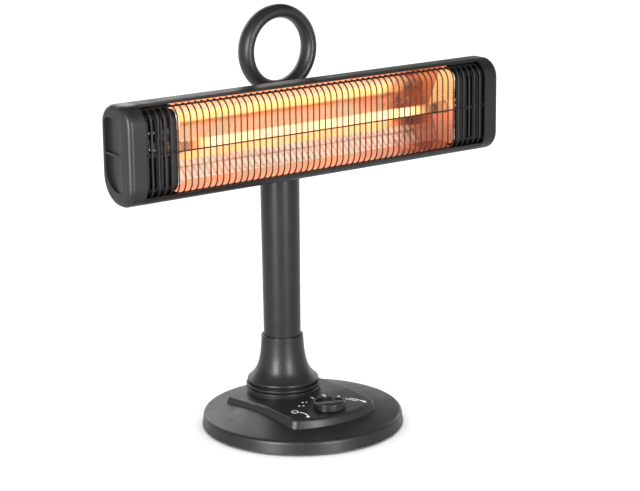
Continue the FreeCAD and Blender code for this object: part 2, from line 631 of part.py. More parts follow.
knob = body("control_knob")
kr, kl, kt = P.knob_r, P.knob_low_z, P.knob_top_z
sk = sketch(knob, "knob_profile", "XZ_Plane")
polygon(sk, [(0, kt - 5), (P.shaft_r + 0.04, kt - 5), (P.shaft_r + 0.04, kl - 1), (6.5, kl - 1), (6.5, kt - 6.4), (kr - 3, kt - 6.4),
             (kr - 3, kl), (kr + 0.3, kl), (kr - 0.2, kt), (kr - 2.2, kt), (kr - 2.2, kt - 3.8), (0, kt - 3.8)])
revolve(knob, "cap", sk)
fillet(knob, "rim_round", lambda e: ring_edge(kr.v - 0.2, kt.v)(e) or ring_edge(kr.v - 2.2, kt.v)(e), 0.7)
sk = sketch(knob, "bar_outline", "XY_Plane", kt - 4)
rect(sk, -(kr - 2), kr - 2, -2.9, 2.9)
pad(knob, "bar", sk, 3.1)


def bar_edge(e):
    v = e.Vertexes
    if len(v) != 2:
        return False
    d = v[1].Point - v[0].Point
    m = (v[0].Point + v[1].Point) * 0.5
    return abs(d.x) > 20 and abs(abs(m.y) - 2.9) < 0.01 and abs(m.z - (kt.v - 0.9)) < 0.01


fillet(knob, "bar_round", bar_edge, 0.8)
sk = sketch(knob, "pointer_outline", "XY_Plane", kt)
rect(sk, -0.9, 0.9, kr - 3.2, kr + 2)
pocket(knob, "pointer", sk, 2.4)
knob.Placement = Placement(Vector(0, ky.v, 0), Rotation(Vector(0, 0, 1), P.knob_turn.v))
knob.setExpression("Placement.Base.y", ky.e)
node(cyl("switch_shaft", 0, ky, 15.0, P.shaft_r, 23.8), "switch_shaft")

# ---- tip-over plunger ----------------------------------------------------------------

plun = body("tip_over_plunger")
sk = sketch(plun, "plunger_profile", "XZ_Plane")
pr, pz = P.plunger_r, P.plunger_low_z
polygon(sk, [(0, pz), (pr - 1, pz), (pr, pz + 1), (pr, 13.6), (5.8, 13.6), (5.8, 15.0), (0, 15.0)])
revolve(plun, "plunger", sk)
plun.Placement = Placement(Vector(tx.v, ty.v, 0), Rotation())
plun.setExpression("Placement.Base.x", tx.e)
plun.setExpression("Placement.Base.y", ty.e)

# ---- drive pinion -----------------------------------------------------------------

m = P.gear_module.v
pin_teeth = gear_face(P.pinion_teeth.v, m, P.gear_slack.v, math.pi / P.pinion_teeth.v)
made("drive_pinion", pin_teeth.extrude(Vector(0, 0, P.gear_t.v)).cut(Part.makeCylinder(2.02, 20, Vector(0, 0, -5))),
     (mx.v, P.col_y.v, P.gear_low_z.v))
node(cyl("motor_shaft", mx, P.col_y, 8.6, 1.98, 15.6), "motor_shaft")

# ---- column ---------------------------------------------------------------------


def on_column(b):
    b.Placement = Placement(Vector(0, P.col_y.v, 0), Rotation())
    b.setExpression("Placement.Base.y", P.col_y.e)


wheel = gear_face(P.gear_teeth.v, m, P.gear_slack.v, 0.0).extrude(Vector(0, 0, P.gear_t.v))
wheel = wheel.fuse(Part.makeCylinder(16.0, 8.6)).cut(Part.makeCylinder(10.98, 20, Vector(0, 0, -5))).removeSplitter()
made("swivel_gear", wheel, (0, P.col_y.v, P.gear_low_z.v))
hexn = Part.Face(Part.makePolygon([Vector(13.0 * math.cos(math.radians(60 * k)), 13.0 * math.sin(math.radians(60 * k)), 0) for k in range(7)]))
made("swivel_nut", hexn.extrude(Vector(0, 0, 3.4)).cut(Part.makeCylinder(10.98, 8, Vector(0, 0, -2))), (0, P.col_y.v, 14.5))

spin = body("swivel_spindle")
sr, sb = P.spindle_r, P.spindle_bore_r
sk = sketch(spin, "spindle_profile", "XZ_Plane")
polygon(sk, [(sb, 14.3), (sr - 1.05, 14.3), (sr - 1.05, 26.7), (sr, 26.7), (sr, P.ring_top_z + 0.05), (34, P.ring_top_z + 0.05),
             (34, 48.4), (21.8, 48.4), (21.8, 74), (19.4, 74), (19.4, 50), (sb, 50)])
revolve(spin, "spindle", sk)
on_column(spin)

ring = body("swivel_ring")
sk = sketch(ring, "ring_profile", "XZ_Plane")
rl, rt = P.ring_low_z, P.ring_top_z
polygon(sk, [(sr + 0.1, rl), (P.ring_r, rl), (P.ring_r, rt), (43, rt), (43, rt + 1.45), (35, rt + 1.45), (35, rt), (sr + 0.1, rt)])
revolve(ring, "disc", sk)
fillet(ring, "edge_round", lambda e: ring_edge(P.ring_r.v, rl.v)(e) or ring_edge(P.ring_r.v, rt.v)(e), 1.3)
on_column(ring)

# trumpet-shaped foot: smooth curve through the measured radii, constant wall
fz, ft = P.flare_low_z.v, P.flare_top_z.v
outer_pts = [(P.flare_bead_r.v - 0.2, 52.2), (40.4, 57.0), (34.6, 65.0), (31.5, 73.3), (29.6, 81.5), (28.5, 90.0), (27.75, 98.0), (27.25, ft - 2.0)]
spl = Part.BSplineCurve()
spl.interpolate([Vector(r, 0, z) for r, z in outer_pts])
inner_pts = [(r - 2.6, z - 1.2) for r, z in outer_pts]
spl_in = Part.BSplineCurve()
spl_in.interpolate([Vector(r, 0, z) for r, z in inner_pts])


def vx(r, zz):
    return Vector(r, 0, zz)


bead = P.flare_bead_r.v
edges = [Part.LineSegment(vx(bead - 1.0, fz), vx(38.5, fz)).toShape(),
         Part.LineSegment(vx(38.5, fz), vx(38.5, fz + 2.0)).toShape(),
         Part.LineSegment(vx(38.5, fz + 2.0), vx(*inner_pts[0])).toShape(),
         spl_in.toShape(),
         Part.LineSegment(vx(*inner_pts[-1]), vx(24.1, inner_pts[-1][1])).toShape(),
         Part.LineSegment(vx(24.1, inner_pts[-1][1]), vx(24.1, ft)).toShape(),
         Part.LineSegment(vx(24.1, ft), vx(26.2, ft)).toShape(),
         Part.Arc(vx(26.2, ft), vx(26.95, ft - 0.45), vx(27.2, ft - 1.2)).toShape(),
         Part.LineSegment(vx(27.2, ft - 1.2), vx(*outer_pts[-1])).toShape(),
         spl.toShape(),
         Part.Arc(vx(*outer_pts[0]), vx(bead + 0.6, 49.9), vx(bead - 1.0, fz)).toShape()]
flare_face = Part.Face(Part.Wire(Part.__sortEdges__(edges)))
made("column_flare", flare_face.revolve(Vector(0, 0, 0), Vector(0, 0, 1), 360), (0, P.col_y.v, 0))

tube = body("column_tube")
sk = sketch(tube, "tube_profile", "XZ_Plane")
polygon(sk, [(P.tube_low_r - P.tube_wall, P.tube_low_z), (P.tube_low_r, P.tube_low_z), (P.tube_top_r, P.tube_top_z), (P.tube_top_r - P.tube_wall, P.tube_top_z)])
revolve(tube, "tube", sk)
sk = sketch(tube, "front_holes_outline", "XZ_Plane", 25.0)
circle(sk, 0, P.tilt_z, 4.2)
circle(sk, 0, P.tilt_z - 10, P.screw_r + 0.1)
circle(sk, 0, P.tilt_z + 10, P.screw_r + 0.1)
pocket(tube, "front_holes", sk, 14.0)
on_column(tube)

# carrying ring: oval section swept round, with a neck that widens to the tube
oval = prim("Ellipse", "handle_section", {"MajorRadius": P.handle_half_d, "MinorRadius": P.handle_half_t},
            (0, P.col_y, P.handle_z + P.handle_r), Rotation(Vector(0, 0, 1), Vector(1, 0, 0), Vector(0, 0, 0), "XYZ"))
oval.Placement = Placement(Vector(0, P.col_y.v, P.handle_z.v + P.handle_r.v), Rotation(Vector(0, 1, 0), Vector(0, 0, 1), Vector(1, 0, 0), "XYZ"))
hoop = doc.addObject("Part::Revolution", "handle_hoop")
hoop.Source = oval
hoop.Axis = Vector(0, 1, 0)
hoop.Base = Vector(0, P.col_y.v, P.handle_z.v)
hoop.setExpression("Base.y", P.col_y.e)
hoop.setExpression("Base.z", P.handle_z.e)
hoop.Angle = 360.0
hoop.Solid = True
n0 = prim("Circle", "neck_foot", {"Radius": P.tube_top_r}, (0, P.col_y, P.tube_top_z + 0.05))
n1 = prim("Circle", "neck_mid", {"Radius": P.tube_top_r - 0.6}, (0, P.col_y, P.tube_top_z + 6))
n2 = prim("Ellipse", "neck_waist", {"MajorRadius": 22.5, "MinorRadius": 14.6}, (0, P.col_y, P.neck_top_z - 8))
n3 = prim("Ellipse", "neck_head", {"MajorRadius": 23.5, "MinorRadius": 11.4}, (0, P.col_y, P.neck_top_z))
neck = doc.addObject("Part::Loft", "handle_neck")
neck.Sections = [n0, n1, n2, n3]
neck.Solid = True
node(fuse("ring_handle", hoop, neck, cyl("handle_stub", 0, P.col_y, P.tube_top_z - 4.5, P.tube_top_r - P.tube_wall - 0.12, 7.5)), "ring_handle")

ex, tz = P.tilt_y, P.tilt_z
node(cut("tilt_bracket",
         fuse("bracket_solid", box("bracket_saddle", -12.0, 12.0, 15.0, 30.0, tz - 13.5, tz + 13.5),
              box("bracket_neck", -12.0, 12.0, ex, 16.0, tz - P.tilt_eye_r, tz + P.tilt_eye_r),
              cyl("bracket_eye", -12.0, ex, tz, P.tilt_eye_r, 24.0, ALONG_X)),
         cyl("bracket_seat", 0, P.col_y, tz - 20, P.tube_top_r + 0.06, 40.0),
         cyl("bracket_pin_hole", -20.0, ex, tz, P.tilt_pin_r + 0.02, 40.0, ALONG_X),
         cyl("bracket_lead_hole", 0, 0, tz, 4.2, 40.0, ALONG_Y),
         cyl("bracket_screw_hole_a", 0, 0, tz - 10, P.screw_r + 0.06, 40.0, ALONG_Y),
         cyl("bracket_screw_hole_b", 0, 0, tz + 10, P.screw_r + 0.06, 40.0, ALONG_Y)), "tilt_bracket")
made("bracket_screws", Part.makeCompound([pan_screw((0, 14.98, tz.v + s * 10), (0, 1, 0), 9.0) for s in (-1, 1)]))
pins = []
for s in (-1, 1):
    shank = Part.makeCylinder(P.tilt_pin_r.v, 12.6, Vector(s * 6.0, ex.v, tz.v), Vector(s, 0, 0))
    head = Part.makeCylinder(4.2, 2.1, Vector(s * 18.4, ex.v, tz.v), Vector(s, 0, 0))
    rim = [e for e in head.Edges if isinstance(e.Curve, Part.Circle) and abs(abs(e.Curve.Center.x) - 20.5) < 1e-6]
    pins.append(shank.fuse(head.makeFillet(0.7, rim)).removeSplitter())
made("tilt_pins", Part.makeCompound(pins))
wash = []
for s in (-1, 1):
    o = Part.makeCylinder(P.tilt_eye_r.v, 0.8, Vector(s * 12.06, ex.v, tz.v), Vector(s, 0, 0))
    wash.append(o.cut(Part.makeCylinder(P.tilt_pin_r.v + 0.1, 4.0, Vector(s * 11.0, ex.v, tz.v), Vector(s, 0, 0))))
made("friction_washers", Part.makeCompound(wash))
made("column_wiring", bent_tube([(0, P.col_y.v, 12.2), (0, P.col_y.v, 200.0), (0.3, P.col_y.v, 330.0), (0, P.col_y.v, tz.v), (0, 21.0, tz.v)], 2.4, 9.0))

# ---- head -----------------------------------------------------------------------

hy0, hy1, hz0, hz1 = P.head_front_y, P.head_rear_y, P.head_low_z, P.head_top_z
rc, rh, w = P.head_corner_r, P.head_heel_r, P.head_wall

house = body("head_housing")
sk = sketch(house, "outer_outline", "YZ_Plane")
round_rect(sk, hy0, hy1, hz0, hz1, [rc, rh, rc, rc])
pad(house, "outer", sk, 2 * P.cap_in_x - 0.1, sym=True)
sk = sketch(house, "inner_outline", "YZ_Plane")
round_rect(sk, hy0 + w, hy1 - w, hz0 + w, hz1 - w, [rc - w, rh - w, rc - w, rc - w])
pocket(house, "inner", sk, 2 * P.cap_in_x + 10)
sk = sketch(house, "mouth_outline", "YZ_Plane")
rect(sk, hy0 - 10, P.lip_top_y, P.lip_low_z, hz1 + 10)
pocket(house, "mouth", sk, 2 * P.cap_in_x + 10)
sk = sketch(house, "rear_holes_outline", "XZ_Plane", -(hy1 - 1))
circle(sk, 0, tz, 3.2)
for sx in (-1.0, 1.0):
    for dz in (-9.0, 9.0):
        circle(sk, sx * 25.0, tz + dz, P.screw_r + 0.06)
    for dz in (-13.0, 13.0):
        circle(sk, sx * 252.0, tz + dz, P.screw_r + 0.06)
pocket(house, "rear_holes", sk, 8.0)

cap = body("left_end_cap")
sk = sketch(cap, "outer_outline", "YZ_Plane", -P.cap_in_x)
round_rect(sk, hy0, hy1, hz0, hz1, [rc, rh, rc, rc])
pad(cap, "outer", sk, P.head_x - P.cap_in_x, rev=True)


def outer_loop(e):
    for t in (0.0, 0.5, 1.0):
        p = e.valueAt(e.FirstParameter + t * (e.LastParameter - e.FirstParameter))
        if abs(p.x + P.head_x.v) > 0.01:
            return False
    return True


fillet(cap, "edge_round", outer_loop, P.cap_edge_r)
cw = P.cap_wall
sk = sketch(cap, "inner_outline", "YZ_Plane", -P.cap_in_x)
round_rect(sk, hy0 + cw, hy1 - cw, hz0 + cw, hz1 - cw, [rc - cw, rh - cw, rc - cw, rc - cw])
pocket(cap, "inner", sk, 2 * (P.head_x - P.cap_in_x - P.scoop_deep - 3.0))
# grip scoop: deepest along the rear wall, running out towards the front
sx0, sx1 = -P.head_x, -(P.head_x - P.scoop_deep)
run = P.scoop_rear_y - P.scoop_front_y
lean = math.degrees(math.atan2(P.scoop_deep.v, run.v))
sk = sketch(cap, "scoop_outline", "YZ_Plane", -P.head_x)
sk.AttachmentOffset = Placement(Vector(P.scoop_front_y.v, 0, -P.head_x.v), Rotation(Vector(0, 1, 0), -lean))
sk.setExpression("AttachmentOffset.Base.x", P.scoop_front_y.e)
round_rect(sk, -10.0, run * (1 / math.cos(math.radians(lean))), P.scoop_low_z, P.scoop_top_z, [3.0, 27.0, 8.0, 3.0])
pocket(cap, "scoop", sk, 14.0, sym=False)
sk = sketch(cap, "rib_outline", "XY_Plane", P.mid_z)
polygon(sk, [(sx0 + 0.2, P.scoop_front_y + 2), (sx1 + 0.6, P.scoop_rear_y + 0.4), (sx0 + 0.2, P.scoop_rear_y + 0.4)])
pad(cap, "rib", sk, P.rib_t, sym=True)
# tongue that slides into the housing and takes the screws
sk = sketch(cap, "tongue_outline", "XY_Plane", tz)
rect(sk, -(P.cap_in_x + 8), -(P.cap_in_x - 12), 0.6, hy1 - cw + 0.3)
pad(cap, "tongue", sk, 40.0, sym=True)
sk = sketch(cap, "tongue_relief_outline", "XY_Plane", tz)
rect(sk, -(P.cap_in_x - 0.0), -(P.cap_in_x - 13), hy1 - w - 0.15, hy1 + 2)
sk2 = sketch(cap, "tongue_holes_outline", "XZ_Plane", -3.0)
for dz in (-13.0, 13.0):
    circle(sk2, -252.0, tz + dz, P.screw_r - 0.04 + 0.1)
doc.recompute()
pocket(cap, "tongue_relief", sk, 60.0) if hy1.v - cw.v + 0.3 > hy1.v - w.v - 0.15 else None
pocket(cap, "tongue_holes", sk2, 12.0)
node(mirrored("right_end_cap", cap), "right_end_cap")
made("end_cap_screws", Part.makeCompound([pan_screw((sx * 252.0, hy1.v + 0.02, tz.v + dz), (0, -1, 0), 7.0) for sx in (-1, 1) for dz in (-13.0, 13.0)]))

lou = body("left_louvre")
lx0, lx1 = P.louvre_in_x, P.louvre_out_x
ly, lz0, lz1, lt, lr = P.louvre_front_y, P.louvre_low_z, P.louvre_top_z, P.louvre_t, P.louvre_bend_r
sk = sketch(lou, "outer_outline", "YZ_Plane", -(lx0 + lx1) / 2)
round_rect(sk, ly, ly + 40, lz0, lz1, [lr, lr, lr, lr])
pad(lou, "outer", sk, lx1 - lx0, sym=True)
sk = sketch(lou, "inner_outline", "YZ_Plane", -(lx0 + lx1) / 2)
round_rect(sk, ly + lt, ly + 44, lz0 + lt, lz1 - lt, [lr - lt, lr - lt, lr - lt, lr - lt])
pocket(lou, "inner", sk, lx1 - lx0 + 10)
sk = sketch(lou, "back_outline", "YZ_Plane", -(lx0 + lx1) / 2)
rect(sk, ly + 15, ly + 50, lz0 - 5, lz1 + 5)
pocket(lou, "back", sk, lx1 - lx0 + 10)
sk = sketch(lou, "slots_outline", "XZ_Plane", -ly)
half = P.slot_w / 2
for i in range(6):
    c = -(lx1 - 3.8 - i * P.slot_pitch)
    rect(sk, c - half, c + half, P.mid_z + 2.5, lz1 - 5.5)
    rect(sk, c - half, c + half, lz0 + 8.0, P.mid_z - 2.5)
pocket(lou, "slots", sk, 12.0)
node(mirrored("right_louvre", lou), "right_louvre")

# wire guard: bent wires welded to a cross wire and to two hidden rails
wr, wy, wb, wt, wl, we = P.wire_r.v, P.wire_y.v, P.wire_bend_r.v, P.wire_top_c.v, P.wire_low_c.v, P.wire_end_y.v
c45 = math.sqrt(0.5)
yc = wy + wb
path = Part.Wire([
    Part.LineSegment(Vector(0, we, wt + wb), Vector(0, yc, wt + wb)).toShape(),
    Part.Arc(Vector(0, yc, wt + wb), Vector(0, yc - wb * c45, wt + wb * c45), Vector(0, wy, wt)).toShape(),
    Part.LineSegment(Vector(0, wy, wt), Vector(0, wy, wl)).toShape(),
    Part.Arc(Vector(0, wy, wl), Vector(0, yc - wb * c45, wl - wb * c45), Vector(0, yc, wl - wb)).toShape(),
    Part.LineSegment(Vector(0, yc, wl - wb), Vector(0, we, wl - wb)).toShape()])
one = path.makePipeShell([Part.Wire([Part.Circle(Vector(0, we, wt + wb), Vector(0, -1, 0), wr).toShape()])], True, False)
count = int(P.wire_half_count.v)
wires = [one.translated(Vector(P.wire_pitch.v * k, 0, 0)) for k in range(-count, count + 1)]
xdir = Vector(1, 0, 0)
cross = Part.makeCylinder(wr, 2 * P.cross_half.v, Vector(-P.cross_half.v, wy + 2 * wr - 0.25, P.mid_z.v), xdir)
rail_t = Part.makeCylinder(P.rail_r.v, 2 * P.rail_half.v, Vector(-P.rail_half.v, we - 0.6, wt + wb - wr - P.rail_r.v + 0.5), xdir)
rail_l = Part.makeCylinder(P.rail_r.v, 2 * P.rail_half.v, Vector(-P.rail_half.v, we - 0.6, wl - wb - wr - P.rail_r.v + 0.5), xdir)
made("wire_guard", cross.multiFuse([rail_t, rail_l] + wires))

# polished reflector: folded trough with a ridge behind the lamp and a flange along both long edges
vy, fy, fh, dt = P.dish_vertex_y.v, P.dish_fold_y.v, P.dish_fold_h.v, P.dish_t.v
front = [(-46.0, -49.9), (fy, -fh), (vy, 0.0), (fy, fh), (-30.5, 55.2)]
back = []
for i, (y, h) in enumerate(front):
    turns = []
    for (ya, ha), (yb, hb) in zip(front[max(0, i - 1):i + 1], front[max(1, i):i + 2]):
        q = math.hypot(yb - ya, hb - ha)
        turns.append(((hb - ha) / q, -(yb - ya) / q))
    ny, nh = sum(t[0] for t in turns), sum(t[1] for t in turns)
    k = dt / (ny * turns[0][0] + nh * turns[0][1])
    back.append((y + ny * k, h + nh * k))
loop = [Vector(-P.dish_half.v, y, P.mid_z.v + h) for y, h in front + back[::-1]]
made("reflector", Part.Face(Part.makePolygon(loop + loop[:1])).extrude(Vector(2 * P.dish_half.v, 0, 0)))

bulk = body("left_reflector_end")
bx = -(P.dish_half + 0.15)
sk = sketch(bulk, "plate_outline", "YZ_Plane", bx)
round_rect(sk, -50.0, 4.4, 347.4, 442.8, [10.0, 26.0, 19.0, 10.0])
pad(bulk, "plate", sk, 0.8, rev=True)
sk = sketch(bulk, "plate_crest_outline", "YZ_Plane", bx)
rect(sk, -33.5, -17.0, 440.0, 449.4)
pad(bulk, "plate_crest", sk, 0.8, rev=True)
sk = sketch(bulk, "lamp_hole_outline", "YZ_Plane", bx)
circle(sk, P.lamp_y, P.mid_z, P.ceramic_r + 0.6)
circle(sk, 1.9, P.mid_z + 14, 2.2)
pocket(bulk, "lamp_hole", sk, 6.0)
sk = sketch(bulk, "tab_outline", "XY_Plane", P.mid_z + 33.0)
rect(sk, bx - 0.8, bx + 3.4, -50.6, -49.8)
pad(bulk, "tab_top", sk, 14.0, sym=True)
sk = sketch(bulk, "tab_low_outline", "XY_Plane", P.mid_z - 33.0)
rect(sk, bx - 0.8, bx + 3.4, -50.6, -49.8)
pad(bulk, "tab_low", sk, 14.0, sym=True)
node(mirrored("right_reflector_end", bulk), "right_reflector_end")

node(cut("quartz_tube", cyl("tube_outer", -P.lamp_half, P.lamp_y, P.mid_z, P.lamp_r, 2 * P.lamp_half, ALONG_X),
         cyl("tube_inner", -P.lamp_half - 5, P.lamp_y, P.mid_z, P.lamp_r - P.lamp_wall, 2 * P.lamp_half + 10, ALONG_X)), "quartz_tube")
node(cyl("heating_filament", -P.coil_half, P.lamp_y, P.mid_z, P.coil_r, 2 * P.coil_half, ALONG_X), "heating_filament")
cer = cut("left_ceramic_end", cyl("ceramic_solid", -P.ceramic_out_x, P.lamp_y, P.mid_z, P.ceramic_r, P.ceramic_out_x - P.ceramic_in_x, ALONG_X),
          cyl("ceramic_socket", -P.lamp_half - 0.3, P.lamp_y, P.mid_z, P.lamp_r + 0.05, 30.0, ALONG_X),
          cyl("ceramic_lead_hole", -P.ceramic_out_x - 5, P.lamp_y, P.mid_z, 1.4, 40.0, ALONG_X))
node(cer, "left_ceramic_end")
node(mirrored("right_ceramic_end", cer), "right_ceramic_end")
brk = cut("left_tube_bracket", fuse("lamp_bracket_solid", cyl("lamp_bracket_ring", -218.4, P.lamp_y, P.mid_z, 11.0, 1.2, ALONG_X),
                                    box("lamp_bracket_arm", -218.4, -217.2, P.lamp_y, 4.6, P.mid_z - 6, P.mid_z + 6),
                                    box("lamp_bracket_foot", -230.0, -217.2, 3.4, 4.6, P.mid_z - 6, P.mid_z + 6)),
          cyl("lamp_bracket_hole", -225.0, P.lamp_y, P.mid_z, P.ceramic_r + 0.05, 12.0, ALONG_X))
node(brk, "left_tube_bracket")
node(mirrored("right_tube_bracket", brk), "right_tube_bracket")

lead_pts = [(-224.1, P.lamp_y.v, 394.0), (-238.0, P.lamp_y.v, 394.0), (-238.0, -6.0, 405.0), (-226.0, 1.9, 408.0), (-180.0, 1.9, 408.0),
            (-90.0, 1.9, 408.4), (-10.2, 1.9, 408.0)]
made("left_lead", bent_tube(lead_pts, 1.3, 9.0))
made("right_lead", bent_tube([(-x, y, z_) for x, y, z_ in lead_pts], 1.3, 9.0))
node(box("lead_joint", -10.0, 10.0, 0.0, 4.6, 401.0, 412.0), "lead_joint")
made("tilt_lead", Part.makeCylinder(2.0, 16.2, Vector(0, 2.6, tz.v), Vector(0, 1, 0)))
node(fuse("thermal_cutout", cyl("cutout_can", 66.0, -4.0, 421.0, 7.5, 5.0, ALONG_Y),
          box("cutout_base", 55.0, 77.0, 1.0, 4.6, 416.0, 426.0)), "thermal_cutout")

ear = cut("left_tilt_lug", fuse("lug_solid", box("lug_plate", -31.0, -13.2, hy1 + 0.05, hy1 + 2.05, tz - 14.5, tz + 14.5),
                                box("lug_ear", -18.0, -13.2, hy1 + 0.05, ex, tz - P.tilt_eye_r, tz + P.tilt_eye_r),
                                cyl("lug_eye", -18.0, ex, tz, P.tilt_eye_r, 4.8, ALONG_X)),
          cyl("lug_pin_hole", -30.0, ex, tz, P.tilt_pin_r + 0.05, 30.0, ALONG_X),
          cyl("lug_head_relief", -22.0, ex, tz, 4.65, 3.85, ALONG_X),
          cyl("lug_screw_hole_a", -25.0, 0, tz - 9, P.screw_r + 0.06, 30.0, ALONG_Y),
          cyl("lug_screw_hole_b", -25.0, 0, tz + 9, P.screw_r + 0.06, 30.0, ALONG_Y))
node(ear, "left_tilt_lug")
node(mirrored("right_tilt_lug", ear), "right_tilt_lug")
made("lug_screws", Part.makeCompound([pan_screw((sx * 25.0, hy1.v + 2.07, tz.v + dz), (0, -1, 0), 6.5) for sx in (-1, 1) for dz in (-9.0, 9.0)]))

# ---- check and write ----------------------------------------------------------------

doc.recompute()
bad = []
for o in doc.Objects:
    if "Invalid" in o.State or "Error" in o.State:
        bad.append(o.Label)
for label, o in NODES:
    s = o.Shape
    if s.isNull() or not s.isValid() or not s.Solids:
        bad.append(label + " shape")
if bad:
    raise ValueError("failed objects: " + ", ".join(bad))
os.makedirs("parts", exist_ok=True)
for old in os.listdir("parts"):
    if old.endswith(".step"):
        os.remove(os.path.join("parts", old))
for label, o in NODES:
    o.Shape.exportStep("parts/%s.step" % label)
    bb = o.Shape.BoundBox
    print("%-22s solids %2d  vol %9.0f  x %7.1f %7.1f  y %7.1f %7.1f  z %7.1f %7.1f" % (
        label, len(o.Shape.Solids), o.Shape.Volume, bb.XMin, bb.XMax, bb.YMin, bb.YMax, bb.ZMin, bb.ZMax))
print(len(NODES), "nodes")
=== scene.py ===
import json
import math

import bmesh
import bpy
from mathutils import Matrix, Vector


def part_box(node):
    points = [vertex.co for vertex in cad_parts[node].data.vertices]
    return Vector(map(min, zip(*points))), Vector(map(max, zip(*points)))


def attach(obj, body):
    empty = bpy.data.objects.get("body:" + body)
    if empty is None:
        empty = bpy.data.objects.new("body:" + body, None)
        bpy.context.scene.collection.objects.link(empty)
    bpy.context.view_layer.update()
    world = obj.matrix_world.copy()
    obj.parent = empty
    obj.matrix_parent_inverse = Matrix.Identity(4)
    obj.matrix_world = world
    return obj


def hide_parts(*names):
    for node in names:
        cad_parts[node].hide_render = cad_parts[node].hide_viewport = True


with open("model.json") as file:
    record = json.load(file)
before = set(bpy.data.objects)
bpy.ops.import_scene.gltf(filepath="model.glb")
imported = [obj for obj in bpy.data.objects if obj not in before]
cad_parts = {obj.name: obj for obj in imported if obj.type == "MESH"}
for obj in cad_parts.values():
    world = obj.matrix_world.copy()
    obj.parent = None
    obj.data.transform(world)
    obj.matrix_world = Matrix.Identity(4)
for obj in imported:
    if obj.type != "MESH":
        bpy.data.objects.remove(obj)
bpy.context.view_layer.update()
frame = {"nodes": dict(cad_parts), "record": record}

scene = bpy.context.scene
nodes = frame["nodes"]

# ---- camera ---------------------------------------------------------------------

F_PX, AZ, EL, ROLL, PX, PZ, DIST = 2020.3, -36.359, 14.34, -0.662, 24.83, 235.82, 2561.3
a, e, r = math.radians(AZ), math.radians(EL), math.radians(ROLL)
back = Vector((math.sin(a) * math.cos(e), -math.cos(a) * math.cos(e), math.sin(e)))
right = Vector((math.cos(a), math.sin(a), 0))
up = back.cross(right)
right_r = right * math.cos(r) + up * math.sin(r)
up_r = up * math.cos(r) - right * math.sin(r)
cam_data = bpy.data.cameras.new("camera")
cam = bpy.data.objects.new("camera", cam_data)
scene.collection.objects.link(cam)
spot = (right * PX + Vector((0, 0, PZ)) + back * DIST) / 1000.0
rot = Matrix((right_r, up_r, back)).transposed().to_4x4()
cam.matrix_world = Matrix.Translation(spot) @ rot
cam_data.sensor_fit = "HORIZONTAL"
cam_data.sensor_width = 36.0
cam_data.lens = F_PX * 36.0 / 640.0
cam_data.clip_start, cam_data.clip_end = 0.05, 100.0
scene.camera = cam


# ---- material helpers -------------------------------------------------------------

class Tree:
    """a material's node tree, with short calls to add and join nodes"""

    def __init__(self, name):
        self.mat = bpy.data.materials.new(name)
        self.mat.use_nodes = True
        self.nt = self.mat.node_tree
        self.nt.nodes.clear()
        self.out = self.nt.nodes.new("ShaderNodeOutputMaterial")
        self.bsdf = self.nt.nodes.new("ShaderNodeBsdfPrincipled")
        self.nt.links.new(self.bsdf.outputs["BSDF"], self.out.inputs["Surface"])
        self.co = self.nt.nodes.new("ShaderNodeTexCoord").outputs["Object"]

    def put(self, socket, value):
        if hasattr(value, "is_output"):
            self.nt.links.new(value, socket)
        else:
            socket.default_value = value

    def noise(self, scale, detail=3.0, rough=0.55, stretch=None):
        n = self.nt.nodes.new("ShaderNodeTexNoise")
        n.inputs["Scale"].default_value = scale
        n.inputs["Detail"].default_value = detail
        n.inputs["Roughness"].default_value = rough
        src = self.co
        if stretch:
            m = self.nt.nodes.new("ShaderNodeMapping")
            m.inputs["Scale"].default_value = stretch
            self.nt.links.new(self.co, m.inputs["Vector"])
            src = m.outputs["Vector"]
        self.nt.links.new(src, n.inputs["Vector"])
        return n.outputs["Fac"]

    def voronoi(self, scale):
        n = self.nt.nodes.new("ShaderNodeTexVoronoi")
        n.inputs["Scale"].default_value = scale
        self.nt.links.new(self.co, n.inputs["Vector"])
        return n.outputs["Distance"]

    def math(self, op, x, y=0.0, clamp=False):
        n = self.nt.nodes.new("ShaderNodeMath")
        n.operation = op
        n.use_clamp = clamp
        self.put(n.inputs[0], x)
        self.put(n.inputs[1], y)
        return n.outputs[0]

    def span(self, value, lo, hi, out_lo, out_hi):
        n = self.nt.nodes.new("ShaderNodeMapRange")
        self.put(n.inputs["Value"], value)
        for k, v in (("From Min", lo), ("From Max", hi), ("To Min", out_lo), ("To Max", out_hi)):
            n.inputs[k].default_value = v
        return n.outputs["Result"]

    def ramp(self, value, *stops):
        n = self.nt.nodes.new("ShaderNodeValToRGB")
        cr = n.color_ramp
        cr.elements.remove(cr.elements[1])
        for k, (at, col) in enumerate(stops):
            el = cr.elements.new(at) if k else cr.elements[0]
            el.position = at
            el.color = tuple(col) + (1.0,) * (4 - len(col))
        self.put(n.inputs["Fac"], value)
        return n.outputs["Color"]

    def mix(self, fac, x, y):
        n = self.nt.nodes.new("ShaderNodeMix")
        n.data_type = "RGBA"
        self.put(n.inputs["Factor"], fac)
        self.put(n.inputs["A"], x)
        self.put(n.inputs["B"], y)
        return [s for s in n.outputs if s.type == "RGBA"][0]

    def axis(self, name):
        n = self.nt.nodes.new("ShaderNodeSeparateXYZ")
        self.nt.links.new(self.co, n.inputs[0])
        return n.outputs[name]

    def bump(self, height, strength, distance, over=None):
        n = self.nt.nodes.new("ShaderNodeBump")
        n.inputs["Strength"].default_value = strength
        n.inputs["Distance"].default_value = distance
        self.nt.links.new(height, n.inputs["Height"])
        if over is not None:
            self.nt.links.new(over, n.inputs["Normal"])
        return n.outputs["Normal"]

    def set(self, **kw):
        for k, v in kw.items():
            self.put(self.bsdf.inputs[k.replace("_", " ")], v)
        return self


def tone(c, k):
    return tuple(min(1.0, q * k) for q in c[:3])


